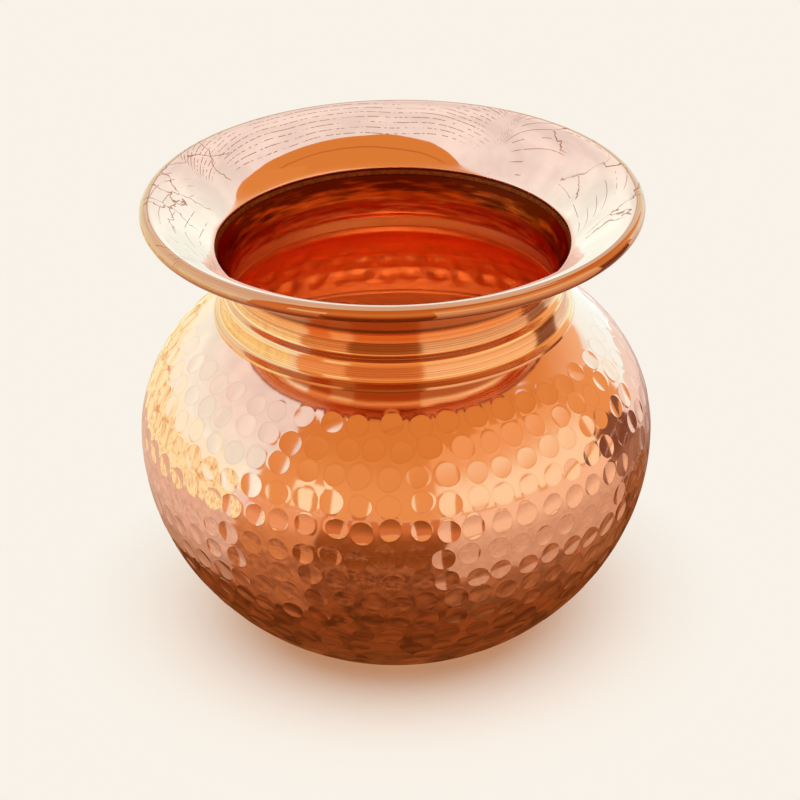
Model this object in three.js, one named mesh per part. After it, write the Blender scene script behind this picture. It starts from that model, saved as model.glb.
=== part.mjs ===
// A kalash: a round-bellied copper water pot with a stepped neck and a wide flared mouth.
// The bowl, the shoulder, the neck and the mouth are separate copper sheets, lapped and
// brazed together, and the edge of the mouth is rolled round a wire.
// Millimetres, +Z up, with the origin at the centre of the flat that the pot stands on.
import * as THREE from 'three';

// Belly: the outside of the bowl and of the shoulder, each one quarter of a rounded curve
const bellyRadius = 65;
const bellyHeight = 55.2;
const seatRadius = 25.6;
const bowlFullness = 1.98;
const shoulderHeight = 45.2;
const shoulderFullness = 2.1;
const vesselThickness = 1.0;

// Lap joint at the belly, where the lip of the bowl is set inside the shoulder
const jointClearance = 0.3;
const lipHeight = 6;

// Neck: a foot on the shoulder, two steps with a plain band between them, a waist and a bell
const footRadius = 45.2;
const footEdgeHeight = 0.6;
const lowerStepTread = 1.7;
const lowerStepRise = 1.05;
const bandInset = 0.6;
const bandHeight = 4.4;
const upperStepTread = 1.8;
const upperStepRise = 1.4;
const waistHeight = 1.1;
const bellLapWidth = 3.6;
const neckRise = 17.58;

// The turned-up spigot of the shoulder, which the neck is slipped over
const spigotHeight = 2.0;
const spigotBendRadius = 0.6;

// Mouth: a trumpet flare that lies on the neck's bell, and an edge rolled round a wire
const throatRadius = 44;
const rimRadius = 62.3;
const flareRise = 12.1;
const flareCurl = 1.5;
const flangeThickness = 0.9;
const wireRadius = 0.9;
const wireClearance = 0.25;
const rollTurn = 290;

// Hammer marks of the planished belly
const dimpleSpacing = 7.2;
const dimpleDepth = 0.45;
const dimplesRound = 44;

// Fillets of braze at the joints
const brazeLegLength = 1.1;

// Facets of the turned pieces
const turnedSides = 60;
const wireSides = 6;
const bellSteps = 5;
const flareSteps = 7;
const rollSteps = 10;

const DEGREE = Math.PI / 180;

const point = (r, z) => new THREE.Vector2(r, z);

// Depth of the whole curve whose lower end the flat seat cuts off
const bowlDepth = bellyHeight / (1 - (seatRadius / bellyRadius) ** bowlFullness) ** (1 / bowlFullness);

// Outside radius of the bowl at a height
function bowlRadius(z) {
  return bellyRadius * (1 - ((bellyHeight - z) / bowlDepth) ** bowlFullness) ** (1 / bowlFullness);
}

// Height of the shoulder's outside at a radius
function shoulderTop(r) {
  return bellyHeight + shoulderHeight * (1 - (r / bellyRadius) ** shoulderFullness) ** (1 / shoulderFullness);
}

// Inside radius of the shoulder at a height
function shoulderInside(z) {
  const rise = (z - bellyHeight) / (shoulderHeight - vesselThickness);
  return (bellyRadius - vesselThickness) * (1 - rise ** shoulderFullness) ** (1 / shoulderFullness);
}

// Points a given step apart along a curve of points, keeping both of its ends
function evenlySpaced(curve, step) {
  const lengths = [0];
  for (let i = 1; i < curve.length; i += 1) {
    lengths.push(lengths[i - 1] + curve[i].distanceTo(curve[i - 1]));
  }
  const total = lengths[lengths.length - 1];
  const count = Math.max(2, Math.round(total / step));
  const spaced = [];
  for (let k = 0; k <= count; k += 1) {
    const target = (total * k) / count;
    const i = Math.min(curve.length - 1, Math.max(1, lengths.findIndex((length) => length >= target)));
    const share = (target - lengths[i - 1]) / (lengths[i] - lengths[i - 1]);
    spaced.push(curve[i - 1].clone().lerp(curve[i], share));
  }
  return spaced;
}

// A path moved to its left by a distance, with its corners mitred
function offsetLeft(path, distance) {
  const sides = path.slice(1).map((end, i) => {
    const along = end.clone().sub(path[i]).normalize();
    return point(-along.y, along.x);
  });
  return path.map((corner, i) => {
    const before = sides[Math.max(0, i - 1)];
    const after = sides[Math.min(sides.length - 1, i)];
    const mitre = before.clone().add(after).normalize();
    return corner.clone().addScaledVector(mitre, distance / mitre.dot(before));
  });
}

// Every second point of a path and its end, for the plain back of a sheet
function thinned(path) {
  return path.filter((corner, i) => i % 2 === 0 || i === path.length - 1);
}

// A closed section turned about the pot's axis
function turned(section, sides) {
  const geometry = new THREE.LatheGeometry(section, sides);
  geometry.rotateX(Math.PI / 2);
  return geometry;
}

function closed(section) {
  return [...section, section[0].clone()];
}

// A turned sheet with staggered hammer marks along the stretch of its section between two rows.
// Each mark is a pit at a corner of the mesh, with the faces round it split from ridge to ridge.
function hammered(section, firstRow, lastRow) {
  const sides = 2 * dimplesRound;
  const geometry = new THREE.LatheGeometry(section, sides);
  const position = geometry.attributes.position;
  const rows = section.length;
  const isPit = (side, row) => row > firstRow && row < lastRow && (side + row) % 2 === 0;
  for (let side = 0; side <= sides; side += 1) {
    for (let row = firstRow + 1; row < lastRow; row += 1) {
      if (!isPit(side, row)) continue;
      const along = section[row + 1].clone().sub(section[row - 1]).normalize();
      const pit = section[row].clone().addScaledVector(point(-along.y, along.x), dimpleDepth);
      const angle = (side * 2 * Math.PI) / sides;
      position.setXYZ(side * rows + row, pit.x * Math.sin(angle), pit.y, pit.x * Math.cos(angle));
    }
  }
  const index = [];
  for (let side = 0; side < sides; side += 1) {
    for (let row = 0; row < rows - 1; row += 1) {
      const a = side * rows + row;
      const b = a + rows;
      const c = b + 1;
      const d = a + 1;
      if (isPit(side, row) || isPit(side + 1, row + 1)) index.push(a, b, d, c, d, b);
      else index.push(a, b, c, c, d, a);
    }
  }
  geometry.setIndex(index);
  geometry.rotateX(Math.PI / 2);
  return geometry;
}

// Section of a fillet of braze: one leg along what lies below it and one up what stands beside it
function filletSection(corner, alongFloor, upWall) {
  const floorEnd = corner.clone().addScaledVector(alongFloor, brazeLegLength);
  const wallEnd = corner.clone().addScaledVector(upWall, brazeLegLength);
  return closed([floorEnd, corner, wallEnd]);
}

// Top of the bowl's lip
const lipTop = bellyHeight + lipHeight;

// Neck, from its foot on the shoulder up to the bell that carries the mouth
const footTop = point(footRadius, shoulderTop(footRadius) + jointClearance + footEdgeHeight);
const bandBottom = footTop.clone().add(point(-lowerStepTread, lowerStepRise));
const bandTop = bandBottom.clone().add(point(-bandInset, bandHeight));
const waistBottom = bandTop.clone().add(point(-upperStepTread, upperStepRise));
const waistTop = waistBottom.clone().add(point(0, waistHeight));
const spigotTop = shoulderTop(bandBottom.x) + spigotHeight;

// Heights of the throat and of the rim, which the neck carries
const throatHeight = footTop.y + neckRise;
const rimHeight = throatHeight + flareRise;

// Inside radius of the neck's plain band at a height
function bandInside(z) {
  return bandBottom.x - vesselThickness - (bandInset * (z - bandBottom.y)) / bandHeight;
}

const spigotRadius = bandInside(spigotTop) - jointClearance;

// The rolled edge round its wire
const beadRadius = wireRadius + wireClearance + flangeThickness;
const beadCentre = point(rimRadius - beadRadius, rimHeight - beadRadius);

// Upward direction of the mouth's sheet at a share of the way from the throat to the bead
function flareDirection(share) {
  const run = beadCentre.x - throatRadius;
  const rise = flareRise * flareCurl * (1 - share) ** (flareCurl - 1);
  return point(run, rise).normalize();
}

// A point of the mouth's sheet at that share, at a depth under its polished top
function flarePoint(share, depth) {
  const top = point(
    THREE.MathUtils.lerp(throatRadius, beadCentre.x, share),
    throatHeight + flareRise * (1 - (1 - share) ** flareCurl),
  );
  const along = flareDirection(share);
  return top.addScaledVector(point(along.y, -along.x), depth);
}

// The lower half of the belly: a raised and hammered bowl with a flat seat and an inset lip
function bowlGeometry() {
  const curve = [];
  const seam = bellyHeight - jointClearance;
  for (let i = 0; i <= 200; i += 1) {
    const z = seam * (1 - Math.cos((i / 200) * (Math.PI / 2)));
    curve.push(point(bowlRadius(z), z));
  }
  const wall = evenlySpaced(curve, dimpleSpacing);
  const lip = [seam, bellyHeight + lipHeight / 2, lipTop].map((z) => {
    return point(shoulderInside(Math.max(z, bellyHeight)) - jointClearance, z);
  });
  const outside = [point(0, 0), ...wall, ...lip];
  const inside = offsetLeft([point(0, 0), ...thinned(wall), ...lip], vesselThickness);
  inside[0].x = 0;
  return hammered([...outside, ...inside.reverse()], 1, wall.length);
}

// The upper half of the belly, with its mouth turned up into a spigot for the neck
function shoulderGeometry() {
  const curve = [];
  const bendRadius = spigotRadius + spigotBendRadius;
  for (let i = 0; i <= 200; i += 1) {
    const r = THREE.MathUtils.lerp(bellyRadius, bendRadius, Math.sin((i / 200) * (Math.PI / 2)) ** 2);
    curve.push(point(r, shoulderTop(r)));
  }
  const wall = evenlySpaced(curve, dimpleSpacing);
  const spigot = [
    point(spigotRadius, shoulderTop(bendRadius) + spigotBendRadius),
    point(spigotRadius, spigotTop),
  ];
  const outside = [...wall, ...spigot];
  const inside = offsetLeft([...wall, ...spigot], vesselThickness);
  inside[0].y = bellyHeight;
  return hammered(closed([...outside, ...inside.reverse()]), 0, wall.length - 2);
}

// The neck, spun from sheet, with its two steps rolled in and its top opened into a bell
function neckGeometry() {
  const bellDepth = flangeThickness + jointClearance + vesselThickness;
  const bellFoot = flarePoint(0, bellDepth);
  const bellStart = flareDirection(0);
  const bellKnee = point(waistTop.x, bellFoot.y - ((bellFoot.x - waistTop.x) * bellStart.y) / bellStart.x);
  const bell = new THREE.QuadraticBezierCurve(waistTop, bellKnee, bellFoot);
  const lapEnd = flarePoint(bellLapWidth / (beadCentre.x - throatRadius), bellDepth);
  const outside = [bandBottom, bandTop, waistBottom, ...bell.getPoints(bellSteps), lapEnd];
  const inside = offsetLeft(outside, vesselThickness).slice(1).reverse();
  const footInside = bandBottom.x - vesselThickness;
  const foot = [footInside, (footInside + footRadius) / 2, footRadius].map((r) => {
    return point(r, shoulderTop(r) + jointClearance);
  });
  foot[0].y += spigotBendRadius / 4;
  return turned(closed([footTop, ...outside, ...inside, ...foot]), turnedSides);
}

// The flared mouth: a trumpet of sheet, cut off at the throat and rolled under at the rim
function mouthGeometry() {
  const roll = (radius, steps) => {
    const arc = [];
    for (let i = 0; i <= steps; i += 1) {
      const angle = (90 - rollTurn + (rollTurn * i) / steps) * DEGREE;
      arc.push(point(Math.cos(angle), Math.sin(angle)).multiplyScalar(radius).add(beadCentre));
    }
    return arc;
  };
  const shares = [];
  for (let i = flareSteps - 1; i >= 0; i -= 1) shares.push(1 - (1 - i / flareSteps) ** 2);
  return turned(
    closed([
      ...roll(beadRadius, rollSteps),
      ...shares.map((share) => flarePoint(share, 0)),
      ...shares.map((share) => flarePoint(share, flangeThickness)).reverse(),
      ...roll(beadRadius - flangeThickness, rollSteps - 2).reverse(),
    ]),
    turnedSides,
  );
}

// The wire that the edge of the mouth is rolled round
function wireGeometry() {
  const section = [];
  for (let i = 0; i < wireSides; i += 1) {
    const angle = ((i * 360) / wireSides) * DEGREE;
    section.push(point(Math.cos(angle), Math.sin(angle)).multiplyScalar(wireRadius).add(beadCentre));
  }
  return turned(closed(section), turnedSides);
}

// Braze on the lip of the bowl, against the inside of the shoulder
function bellyBrazeGeometry() {
  const bottom = lipTop + jointClearance;
  const corner = point(shoulderInside(bottom) - jointClearance, bottom);
  const head = point(shoulderInside(bottom + brazeLegLength) - jointClearance, bottom + brazeLegLength);
  return turned(filletSection(corner, point(-1, 0), head.sub(corner).normalize()), turnedSides);
}

// Braze on the shoulder's spigot, against the inside of the neck
function neckBrazeGeometry() {
  const bottom = spigotTop + jointClearance;
  const corner = point(bandInside(bottom) - jointClearance, bottom);
  const upWall = point(-bandInset, bandHeight).normalize();
  return turned(filletSection(corner, point(-1, 0), upWall), turnedSides);
}

// Braze along the cut edge of the mouth's sheet, which shows as a dark line inside the throat
function throatBrazeGeometry() {
  const along = flareDirection(0).negate();
  const corner = flarePoint(0, flangeThickness).addScaledVector(along, jointClearance);
  return turned(filletSection(corner, along, point(along.y, -along.x)), turnedSides);
}

const hammeredCopper = { color: '#d98148', roughness: 0.16, metalness: 1, flatShading: true };
const turnedCopper = { color: '#dd8a55', roughness: 0.24, metalness: 1 };
const polishedCopper = { color: '#efb89a', roughness: 0.06, metalness: 1 };
const wireCopper = { color: '#b86a3c', roughness: 0.4, metalness: 1 };
const braze = { color: '#8a4a22', roughness: 0.7, metalness: 1 };

function addPiece(group, name, geometry, look) {
  const mesh = new THREE.Mesh(geometry, new THREE.MeshStandardMaterial(look));
  mesh.name = name;
  group.add(mesh);
}

const kalash = new THREE.Group();
addPiece(kalash, 'base_bowl', bowlGeometry(), hammeredCopper);
addPiece(kalash, 'shoulder_shell', shoulderGeometry(), hammeredCopper);
addPiece(kalash, 'belly_braze', bellyBrazeGeometry(), braze);
addPiece(kalash, 'neck_collar', neckGeometry(), turnedCopper);
addPiece(kalash, 'neck_braze', neckBrazeGeometry(), braze);
addPiece(kalash, 'mouth_flange', mouthGeometry(), polishedCopper);
addPiece(kalash, 'rim_wire', wireGeometry(), wireCopper);
addPiece(kalash, 'throat_braze', throatBrazeGeometry(), braze);

export default kalash;
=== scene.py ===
# A kalash: a round-bellied, hammered copper water pot with a stepped neck and a wide flared mouth.
# It is put together here in the order of its making: bowl, shoulder, neck, mouth and the braze of
# each joint, and then it is set in a plain studio. Sizes are in millimetres until a mesh is made.
import math

import bpy
import numpy as np
from mathutils import Matrix, Vector


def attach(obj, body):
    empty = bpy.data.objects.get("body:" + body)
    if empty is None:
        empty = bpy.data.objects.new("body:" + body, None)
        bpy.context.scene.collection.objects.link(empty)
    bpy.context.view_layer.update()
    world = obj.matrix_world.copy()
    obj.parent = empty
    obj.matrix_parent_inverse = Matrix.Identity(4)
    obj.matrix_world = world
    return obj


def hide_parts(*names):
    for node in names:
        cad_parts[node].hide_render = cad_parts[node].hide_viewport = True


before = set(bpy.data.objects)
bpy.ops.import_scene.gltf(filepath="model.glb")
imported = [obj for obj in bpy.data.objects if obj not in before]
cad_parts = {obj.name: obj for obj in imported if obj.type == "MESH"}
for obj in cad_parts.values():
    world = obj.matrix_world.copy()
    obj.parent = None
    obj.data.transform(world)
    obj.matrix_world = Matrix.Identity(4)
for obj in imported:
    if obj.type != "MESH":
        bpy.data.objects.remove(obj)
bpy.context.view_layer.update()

# Base bowl: the lower half of the belly, raised from a disc of copper sheet, planished all over
# with a ball-faced hammer and buffed outside. The seat is beaten flat, and the top edge is set in
# as a lip for the shoulder, scarfed thin so that hardly a step shows inside.
MM = 0.001
BELLY_RADIUS = 65.0
BELLY_HEIGHT = 55.2
SEAT_RADIUS = 25.6
BOWL_FULLNESS = 1.98
SEAT_SHARE = (SEAT_RADIUS / BELLY_RADIUS) ** BOWL_FULLNESS
BOWL_DEPTH = BELLY_HEIGHT / (1 - SEAT_SHARE) ** (1 / BOWL_FULLNESS)
SHEET = 1.0
SEAM_GAP = 0.02
FIT = 0.05
LIP_TOP = 61.2
LIP_EDGE = 0.15
SHOULDER_HEIGHT = 45.2
SHOULDER_FULLNESS = 2.1
# how finely the sheets are turned, and between which radii and heights
FINE_SIDES = 720
SIDES = 360
INSIDE_SIDES = 180
FINE_STEP = 0.57
LIP_STEP = 1.1
INSIDE_STEP = 2.6
CURVE_POINTS = 400
FINE_REACH = 40.0
DENTED_TOP = 46.0
DENTED_FOOT = 40.0
SHARP_ANGLE = math.radians(35)
# the hammer's marks: their spacing, rows, size and unevenness
MARK_PITCH = 6.85
ROW_SPACING = 6.7
TOP_ROW = 38.0
ROWS = 14
MARK_RADIUS = 2.95
MARK_DEPTH = 0.32
MARK_JITTER = 0.75
WAVINESS = 0.12
WOBBLE = 0.25
WOBBLE_SCALE = 170.0
LIP_REACH = 1.3
LIP_SLOPE = 0.06


def linear(code):
    """A colour written as sRGB hex, as linear RGBA."""
    parts = [int(code[i : i + 2], 16) / 255 for i in (1, 3, 5)]
    return [c / 12.92 if c <= 0.04045 else ((c + 0.055) / 1.055) ** 2.4 for c in parts] + [1.0]


def add_node(tree, kind, inputs=None, **settings):
    """A node of that kind with its settings, and its inputs set to values or linked to sockets. A
    node given as an input stands for the first output that its settings leave it."""
    made = tree.nodes.new(kind)
    for name, value in settings.items():
        setattr(made, name, value)
    for key, value in (inputs or {}).items():
        if isinstance(value, bpy.types.Node):
            value = next(socket for socket in value.outputs if socket.enabled)
        if isinstance(value, bpy.types.NodeSocket):
            tree.links.new(value, made.inputs[key])
        else:
            made.inputs[key].default_value = value
    return made


def new_finish(name, base, metallic=1.0, roughness=0.2):
    """A material with those constants on its shader, its node tree, its shader and its coordinates."""
    made = bpy.data.materials.new(name)
    made.use_nodes = True
    shader = made.node_tree.nodes["Principled BSDF"]
    shader.inputs["Base Color"].default_value = linear(base)
    shader.inputs["Metallic"].default_value = metallic
    shader.inputs["Roughness"].default_value = roughness
    place = add_node(made.node_tree, "ShaderNodeTexCoord").outputs["Object"]
    return made, made.node_tree, shader, place


def evenly(curve, step):
    """Points about a step apart along a curve, with both of its ends."""
    curve = np.array(curve, float)
    lengths = np.r_[0, np.cumsum(np.hypot(*np.diff(curve, axis=0).T))]
    at = np.linspace(0, lengths[-1], max(1, round(lengths[-1] / step)) + 1)
    return np.stack([np.interp(at, lengths, curve[:, k]) for k in (0, 1)], 1)


def offset_left(path, distance):
    """A path moved to its left by a distance, with its corners mitred."""
    path = np.array(path, float)
    along = np.diff(path, axis=0)
    along /= np.hypot(*along.T)[:, None]
    sides = np.stack([-along[:, 1], along[:, 0]], 1)
    before, after = np.r_[sides[:1], sides], np.r_[sides, sides[-1:]]
    mitre = before + after
    mitre /= np.hypot(*mitre.T)[:, None]
    return path + mitre * (distance / (mitre * before).sum(1))[:, None]


def rounded(path, times=3, share=0.25):
    """A path with its corners cut again and again until they are round; its ends stay."""
    path = np.array(path, float)
    for _ in range(times):
        first, second = path[:-1], path[1:]
        near, far = first + (second - first) * share, second - (second - first) * share
        cut = np.stack([near, far], 1).reshape(-1, 2)
        path = np.concatenate([path[:1], cut[1:-1], path[-1:]])
    return path


def turned(name, stretches, closed=True):
    """A sheet turned about the pot's axis. Each stretch of its section is (points, sides, values):
    the points run counterclockwise round the sheet with the axis on the left, and the values are
    named numbers that are stored on them. Neighbouring stretches have equal or doubled sides. The
    direction that each point faces, apart from any corner, is stored as "plain"."""
    rings, owner = [], []
    for k, (points, sides, values) in enumerate(stretches):
        for i, (r, z) in enumerate(points):
            stored = {key: np.ravel(value)[i % np.size(value)] for key, value in values.items()}
            rings.append((r, z, 1 if r < 1e-6 else sides, stored))
        owner += [k] * len(points)
    flat = np.array([rim_shade[:2] for rim_shade in rings])
    ahead = np.roll(flat, -1, axis=0) - flat
    ahead[-1] = ahead[-1] if closed else ahead[-2]
    ahead /= np.hypot(*ahead.T)[:, None]
    behind = np.roll(ahead, 1, axis=0)
    behind[0] = behind[0] if closed else ahead[0]
    verts, plain, starts, faces = [], [], [], []
    for i, (r, z, sides, _) in enumerate(rings):
        along = ahead[i] + behind[i]
        if ahead[i] @ behind[i] < math.cos(SHARP_ANGLE):
            along = ahead[i] if owner[i] == owner[(i + 1) % len(rings)] else behind[i]
        out, up = np.array([along[1], -along[0]]) / math.hypot(*along)
        starts.append(len(verts))
        for turn in np.arange(sides) * 2 * math.pi / sides:
            verts.append((r * math.cos(turn) * MM, r * math.sin(turn) * MM, z * MM))
            plain += [out * math.cos(turn), out * math.sin(turn), up]
    for i in range(len(rings) if closed else len(rings) - 1):
        j = (i + 1) % len(rings)
        this, that, sides, others = starts[i], starts[j], rings[i][2], rings[j][2]
        for k in range(max(sides, others)):
            half = k // 2
            if sides == others:
                faces.append((this + k, this + (k + 1) % sides, that + (k + 1) % others, that + k))
            elif sides == 1:
                faces.append((this, that + (k + 1) % others, that + k))
            elif others == 1:
                faces.append((this + k, this + (k + 1) % sides, that))
            elif k % 2 == 0 and sides == 2 * others:
                more = (this + k, this + k + 1, this + (k + 2) % sides)
                faces.append(more + (that + (half + 1) % others, that + half))
            elif k % 2 == 0:
                more = (that + (k + 2) % others, that + k + 1, that + k)
                faces.append((this + half, this + (half + 1) % sides) + more)
    mesh = bpy.data.meshes.new(name)
    mesh.from_pydata(verts, [], faces)
    mesh.shade_smooth()
    mesh.set_sharp_from_angle(angle=SHARP_ANGLE)
    for key in sorted({key for *_, values in rings for key in values}):
        column = [values.get(key, 0.0) for *_, sides, values in rings for _ in range(sides)]
        mesh.attributes.new(key, "FLOAT", "POINT").data.foreach_set("value", column)
    mesh.attributes.new("plain", "FLOAT_VECTOR", "POINT").data.foreach_set("vector", plain)
    made = bpy.data.objects.new(name, mesh)
    bpy.context.scene.collection.objects.link(made)
    return made


def bowl_radius(z):
    """The radius of the bowl's outside at a height."""
    return BELLY_RADIUS * (1 - ((BELLY_HEIGHT - z) / BOWL_DEPTH) ** BOWL_FULLNESS) ** (1 / BOWL_FULLNESS)


def shoulder_top(r):
    """The height of the shoulder's outside at a radius."""
    share = (1 - (r / BELLY_RADIUS) ** SHOULDER_FULLNESS) ** (1 / SHOULDER_FULLNESS)
    return BELLY_HEIGHT + SHOULDER_HEIGHT * share


def shoulder_inside(z):
    """The radius of the shoulder's inside at a height."""
    rise = (z - BELLY_HEIGHT) / (SHOULDER_HEIGHT - SHEET)
    return (BELLY_RADIUS - SHEET) * (1 - rise**SHOULDER_FULLNESS) ** (1 / SHOULDER_FULLNESS)


# Planished copper, buffed: pure copper's own pale pink reflection, near mirror-bright, with a
# faint warm tarnish in patches and a fine buffing haze that follows the turning of the pot
math_node, vector_node, split_node = "ShaderNodeMath", "ShaderNodeVectorMath", "ShaderNodeSeparateXYZ"
mix_node, range_node, noise_node = "ShaderNodeMix", "ShaderNodeMapRange", "ShaderNodeTexNoise"
bump_node = "ShaderNodeBump"
planished, tree, shader, place = new_finish("planished_copper_buffed", "#f9d0c0")
patches = add_node(tree, noise_node, {"Vector": place, "Scale": 45.0, "Detail": 3.0})
tarnish = add_node(
    tree, mix_node, {"Factor": patches, 6: linear("#fbd4c5"), 7: linear("#f8c8b2")}, data_type="RGBA"
)
stretched = add_node(tree, "ShaderNodeMapping", {"Vector": place, "Scale": (60.0, 60.0, 1600.0)})
haze = add_node(tree, noise_node, {"Vector": stretched, "Scale": 1.0, "Detail": 4.0})
dull = add_node(tree, range_node, {"Value": haze, "To Min": 0.05, "To Max": 0.13})
tree.links.new(dull.outputs[0], shader.inputs["Roughness"])
# the slope of each mark's cap, exact up to its crisp rim, with a slight lip thrown up round it
centre = add_node(tree, "ShaderNodeAttribute", attribute_name="mark_centre").outputs["Vector"]
form = add_node(tree, "ShaderNodeAttribute", attribute_name="mark_form").outputs["Vector"]
plain = add_node(tree, "ShaderNodeAttribute", attribute_name="plain").outputs["Vector"]
sizes = add_node(tree, split_node, {0: form})
outwards = add_node(tree, vector_node, {0: plain}, operation="NORMALIZE")
from_centre = add_node(tree, vector_node, {0: place, 1: centre}, operation="SUBTRACT")
lift = add_node(tree, vector_node, {0: from_centre, 1: outwards}, operation="DOT_PRODUCT")
lifted = add_node(tree, vector_node, {0: outwards, "Scale": lift}, operation="SCALE")
level_part = add_node(tree, vector_node, {0: from_centre, 1: lifted}, operation="SUBTRACT")
away = add_node(tree, vector_node, {0: level_part}, operation="LENGTH")
radial = add_node(tree, vector_node, {0: level_part}, operation="NORMALIZE")
wobble = add_node(tree, noise_node, {"Vector": place, "Scale": WOBBLE_SCALE, "Detail": 1.0})
wobble = add_node(tree, range_node, {"Value": wobble, "To Min": 1 - WOBBLE, "To Max": 1 + WOBBLE})
share = add_node(tree, math_node, {0: away, 1: sizes.outputs[0]}, operation="DIVIDE")
share = add_node(tree, math_node, {0: share, 1: wobble}, operation="MULTIPLY")
within = add_node(tree, math_node, {0: share, 1: 1.0}, operation="LESS_THAN")
rim_slope = add_node(tree, math_node, {0: sizes.outputs[1], 1: sizes.outputs[0]}, operation="DIVIDE")
cap_slope = add_node(tree, math_node, {0: rim_slope, 1: share}, operation="MULTIPLY")
cap_slope = add_node(tree, math_node, {0: cap_slope, 1: 2.0}, operation="MULTIPLY")
lip_slope = add_node(
    tree,
    range_node,
    {"Value": share, "From Min": 1.0, "From Max": LIP_REACH, "To Min": -LIP_SLOPE, "To Max": 0.0},
)
# a thin darker ring of painted shade at the foot of each mark's rim
off_rim = add_node(tree, math_node, {0: share, 1: 0.97}, operation="SUBTRACT")
off_rim = add_node(tree, math_node, {0: off_rim}, operation="ABSOLUTE")
rim_shade = add_node(
    tree, range_node, {"Value": off_rim, "From Min": 0.0, "From Max": 0.16, "To Min": 0.16, "To Max": 0.0}
)
rim_shaded = add_node(tree, mix_node, {"Factor": rim_shade, 6: tarnish, 7: linear("#dd9a78")}, data_type="RGBA")
tree.links.new(rim_shaded.outputs[2], shader.inputs["Base Color"])
slope = add_node(tree, mix_node, {0: within, 2: lip_slope, 3: cap_slope}, data_type="FLOAT")
tilt = add_node(tree, vector_node, {0: radial, "Scale": slope}, operation="SCALE")
tilted = add_node(tree, vector_node, {0: outwards, 1: tilt}, operation="SUBTRACT")
exact = add_node(tree, vector_node, {0: tilted}, operation="NORMALIZE")
ripple = add_node(tree, noise_node, {"Vector": place, "Scale": 70.0, "Detail": 2.0})
grain = add_node(tree, bump_node, {"Height": haze, "Strength": 0.12, "Distance": 0.00003, "Normal": exact})
wavy = add_node(
    tree, bump_node, {"Height": ripple, "Strength": 1.0, "Distance": WAVINESS * MM, "Normal": grain}
)
tree.links.new(wavy.outputs[0], shader.inputs["Normal"])

# Annealed copper, satin: the unbuffed inside, redder with a thin oxide, which shows as a duller
# surface with faint level rings where the sheet was spun
annealed, tree, shader, place = new_finish("annealed_copper_satin", "#f6a37a", roughness=0.32)
shader.inputs["Specular Tint"].default_value = linear("#ff8c50")
level = add_node(tree, "ShaderNodeMapping", {"Vector": place, "Scale": (12.0, 12.0, 900.0)})
rings = add_node(tree, noise_node, {"Vector": level, "Scale": 1.0, "Detail": 3.0})
oxide = add_node(
    tree, mix_node, {"Factor": rings, 6: linear("#f0a266"), 7: linear("#ffc892")}, data_type="RGBA"
)
# the heat of the brazing left a ragged dark band below the throat, with a warm tint under it;
# these are heights in metres
STAIN_FOOT, STAIN_TOP, WARM_FOOT, WARM_TOP, RAGGEDNESS = 0.1056, 0.1104, 0.1005, 0.1060, 0.012
drips = add_node(tree, "ShaderNodeMapping", {"Vector": place, "Scale": (110.0, 110.0, 900.0)})
fringe = add_node(tree, noise_node, {"Vector": drips, "Scale": 1.0, "Detail": 6.0})
height = add_node(tree, split_node, {0: place}).outputs[2]
ragged = add_node(tree, math_node, {0: fringe, 1: RAGGEDNESS, 2: height}, operation="MULTIPLY_ADD")
stain = add_node(
    tree,
    range_node,
    {"Value": ragged, "From Min": STAIN_FOOT, "From Max": STAIN_TOP},
    interpolation_type="SMOOTHSTEP",
)
warm = add_node(
    tree,
    range_node,
    {"Value": ragged, "From Min": WARM_FOOT, "From Max": WARM_TOP},
    interpolation_type="SMOOTHSTEP",
)
warmed = add_node(tree, mix_node, {"Factor": warm, 6: oxide, 7: linear("#c4501a")}, data_type="RGBA")
stained = add_node(tree, mix_node, {"Factor": stain, 6: warmed, 7: linear("#5c1c06")}, data_type="RGBA")
tree.links.new(stained.outputs[2], shader.inputs["Base Color"])
# standing water has dulled the bottom, up to a height in metres
WATER_FOOT, WATER_TOP = 0.012, 0.045
dulled = add_node(
    tree,
    range_node,
    {"Value": height, "From Min": WATER_FOOT, "From Max": WATER_TOP, "To Min": 0.85, "To Max": 0.32},
)
tree.links.new(dulled.outputs[0], shader.inputs["Roughness"])
spun = add_node(tree, bump_node, {"Height": rings, "Strength": 0.5, "Distance": 0.0002})
tree.links.new(spun.outputs[0], shader.inputs["Normal"])

# Hammering: rows of round marks from below the neck down to the seat, one cloud of marks for both
# halves of the belly. The stored number "dent" says how much of a mark's depth shows on a sheet,
# and "inside" names the finish; each face also keeps its mark's centre and size for the finish.
hammering = bpy.data.node_groups.new("hammering", "GeometryNodeTree")
tree = hammering
face = hammering.interface
face.new_socket(name="Geometry", in_out="OUTPUT", socket_type="NodeSocketGeometry")
face.new_socket(name="Geometry", in_out="INPUT", socket_type="NodeSocketGeometry")
sockets = {}
for name, kind, value in (
    ("Pitch", "Float", MARK_PITCH * MM),
    ("Row spacing", "Float", ROW_SPACING * MM),
    ("Top row", "Float", math.radians(TOP_ROW)),
    ("Rows", "Int", ROWS),
    ("Mark radius", "Float", MARK_RADIUS * MM),
    ("Mark depth", "Float", MARK_DEPTH * MM),
    ("Jitter", "Float", MARK_JITTER * MM),
    ("Waviness", "Float", WAVINESS * MM),
    ("Belly radius", "Float", BELLY_RADIUS * MM),
    ("Belly height", "Float", BELLY_HEIGHT * MM),
    ("Bowl depth", "Float", BOWL_DEPTH * MM),
    ("Bowl fullness", "Float", BOWL_FULLNESS),
    ("Shoulder height", "Float", SHOULDER_HEIGHT * MM),
    ("Shoulder fullness", "Float", SHOULDER_FULLNESS),
    ("Seed", "Int", 11),
):
    sockets[face.new_socket(name=name, in_out="INPUT", socket_type="NodeSocket" + kind).identifier] = value
given = tree.nodes.new("NodeGroupInput").outputs
begin = tree.nodes.new("GeometryNodeRepeatInput")
end = tree.nodes.new("GeometryNodeRepeatOutput")
begin.pair_with_output(end)
end.repeat_items.clear()
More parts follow.
